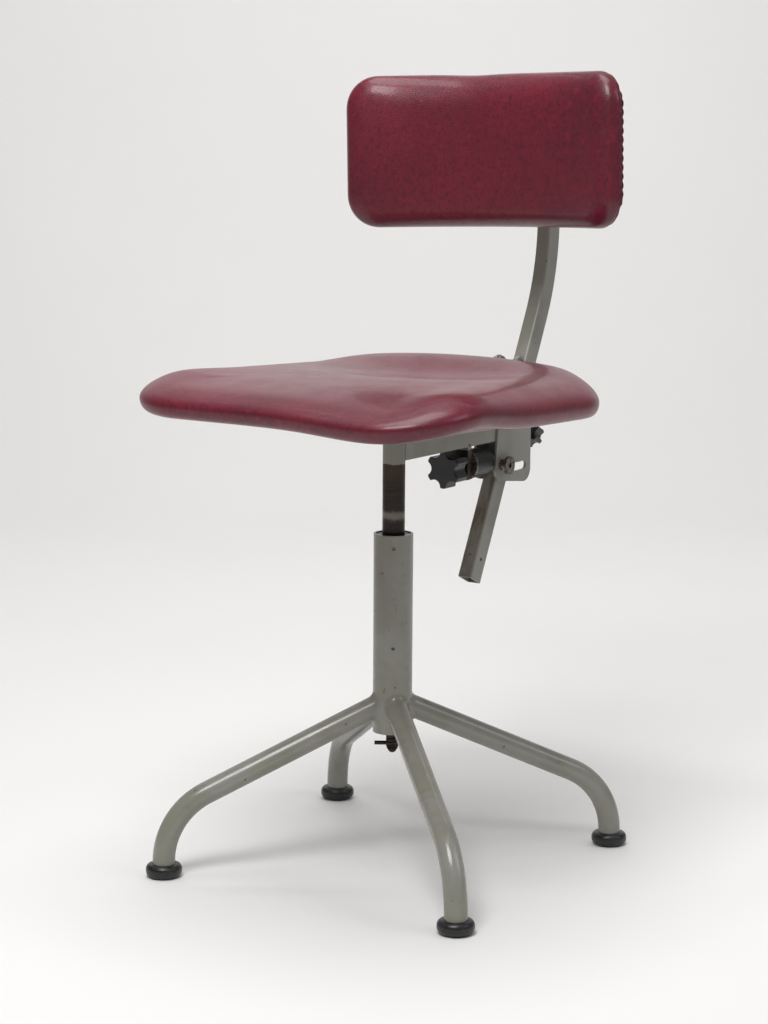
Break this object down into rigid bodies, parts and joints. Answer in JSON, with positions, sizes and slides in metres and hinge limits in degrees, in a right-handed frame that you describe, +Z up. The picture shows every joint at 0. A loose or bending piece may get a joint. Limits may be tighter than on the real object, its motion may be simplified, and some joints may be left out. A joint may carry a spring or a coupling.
{
  "type": "drafting chair",
  "caption": "Drafting chair with a screw-lift seat on bent tube legs, a padded seat and a padded back on a leaning bar that tilts and slides in a clamp.",
  "frame": {"origin": "on the floor, on the column's axis", "axes": "+Z up the column, the sitter faces -Y, the sitter's left hand is at +X"},
  "size_m": [0.4288, 0.587, 0.8762],
  "materials": {
    "grey_enamel": "glossy stoved enamel with small chips",
    "dark_oiled_steel": "turned bar steel, dark with old oil",
    "dull_zinc_steel": "zinc plate gone dull, some rust",
    "bearing_brass": "turned",
    "oxblood_vinyl": "embossed vinyl cloth with a soft sheen",
    "plywood": "sanded birch plywood",
    "black_rubber": "moulded, matt",
    "black_phenolic": "moulded phenolic, worn gloss"
  },
  "bodies": {
    "base": {"column_tube": "grey_enamel", "guide_bush": "bearing_brass", "bush_screws": "dull_zinc_steel", "lift_nut": "bearing_brass", "leg_front_left": "grey_enamel", "leg_rear_left": "grey_enamel", "leg_rear_right": "grey_enamel", "leg_front_right": "grey_enamel", "foot_front_left": "black_rubber", "foot_rear_left": "black_rubber", "foot_rear_right": "black_rubber", "foot_front_right": "black_rubber"},
    "swivel_ring": {"dust_ring": "black_rubber"},
    "seat": {"spindle": "dark_oiled_steel", "stop_pin": "dark_oiled_steel", "tail_washer": "dark_oiled_steel", "tail_screw": "dark_oiled_steel", "seat_arm": "grey_enamel", "cheek_left": "grey_enamel", "cheek_right": "grey_enamel", "pivot_bolt": "dull_zinc_steel", "pivot_nut": "dull_zinc_steel", "screw_lug": "dark_oiled_steel", "seat_plate": "grey_enamel", "seat_block": "plywood", "seat_board": "plywood", "seat_pad": "oxblood_vinyl", "seat_screws": "dull_zinc_steel"},
    "buffer": {"buffer_washer": "dull_zinc_steel", "tilt_buffer": "black_rubber"},
    "tilt_hand_screw": {"tilt_knob": "black_phenolic", "tilt_screw": "dull_zinc_steel"},
    "carriage": {"bar_guide": "grey_enamel", "clamp_boss": "grey_enamel", "slot_bolt": "dull_zinc_steel", "slot_nut": "dull_zinc_steel"},
    "slug": {"clamp_slug": "bearing_brass"},
    "height_hand_screw": {"height_knob": "black_phenolic", "height_stud": "dull_zinc_steel"},
    "back": {"back_bar": "grey_enamel", "back_bracket": "grey_enamel", "bracket_bolts": "dull_zinc_steel", "bracket_nuts": "dull_zinc_steel", "back_board": "plywood", "back_pad": "oxblood_vinyl", "back_screws": "dull_zinc_steel"}
  },
  "joints": [
    {"name": "seat_swivel", "type": "hinge", "parent": "base", "child": "swivel_ring", "pos_m": [0, 0, 0.374], "axis": [0, 0, 1], "range_deg": [-6120, 990]},
    {"name": "seat_lift", "type": "slide", "parent": "swivel_ring", "child": "seat", "axis": [0, 0, 1], "range_m": [-0.068, 0.011]},
    {"name": "back_tilt", "type": "hinge", "parent": "seat", "child": "carriage", "pos_m": [0, 0.243, 0.542], "axis": [1, 0, 0], "range_deg": [0, 24]},
    {"name": "back_height", "type": "slide", "parent": "carriage", "child": "back", "axis": [0, 0.4384, 0.8988], "range_m": [-0.04, 0.09]},
    {"name": "buffer_travel", "type": "slide", "parent": "seat", "child": "buffer", "axis": [0, 1, 0], "range_m": [-0.003, 0]},
    {"name": "tilt_knob_turn", "type": "hinge", "parent": "buffer", "child": "tilt_hand_screw", "pos_m": [0, 0.126, 0.4335], "axis": [0, 1, 0], "range_deg": [-720, 0]},
    {"name": "clamp_travel", "type": "slide", "parent": "carriage", "child": "slug", "axis": [0, 0.8988, -0.4384], "range_m": [0, 0.0025]},
    {"name": "height_knob_turn", "type": "hinge", "parent": "slug", "child": "height_hand_screw", "pos_m": [0, 0.24772, 0.47684], "axis": [0, 0.8988, -0.4384], "range_deg": [0, 720]}
  ],
  "couplings": [
    {"joint": "seat_swivel", "follows": "seat_lift", "rad_per_m": 1570.8},
    {"joint": "tilt_knob_turn", "follows": "buffer_travel", "rad_per_m": 4188.8},
    {"joint": "height_knob_turn", "follows": "clamp_travel", "rad_per_m": 5026.5}
  ]
}
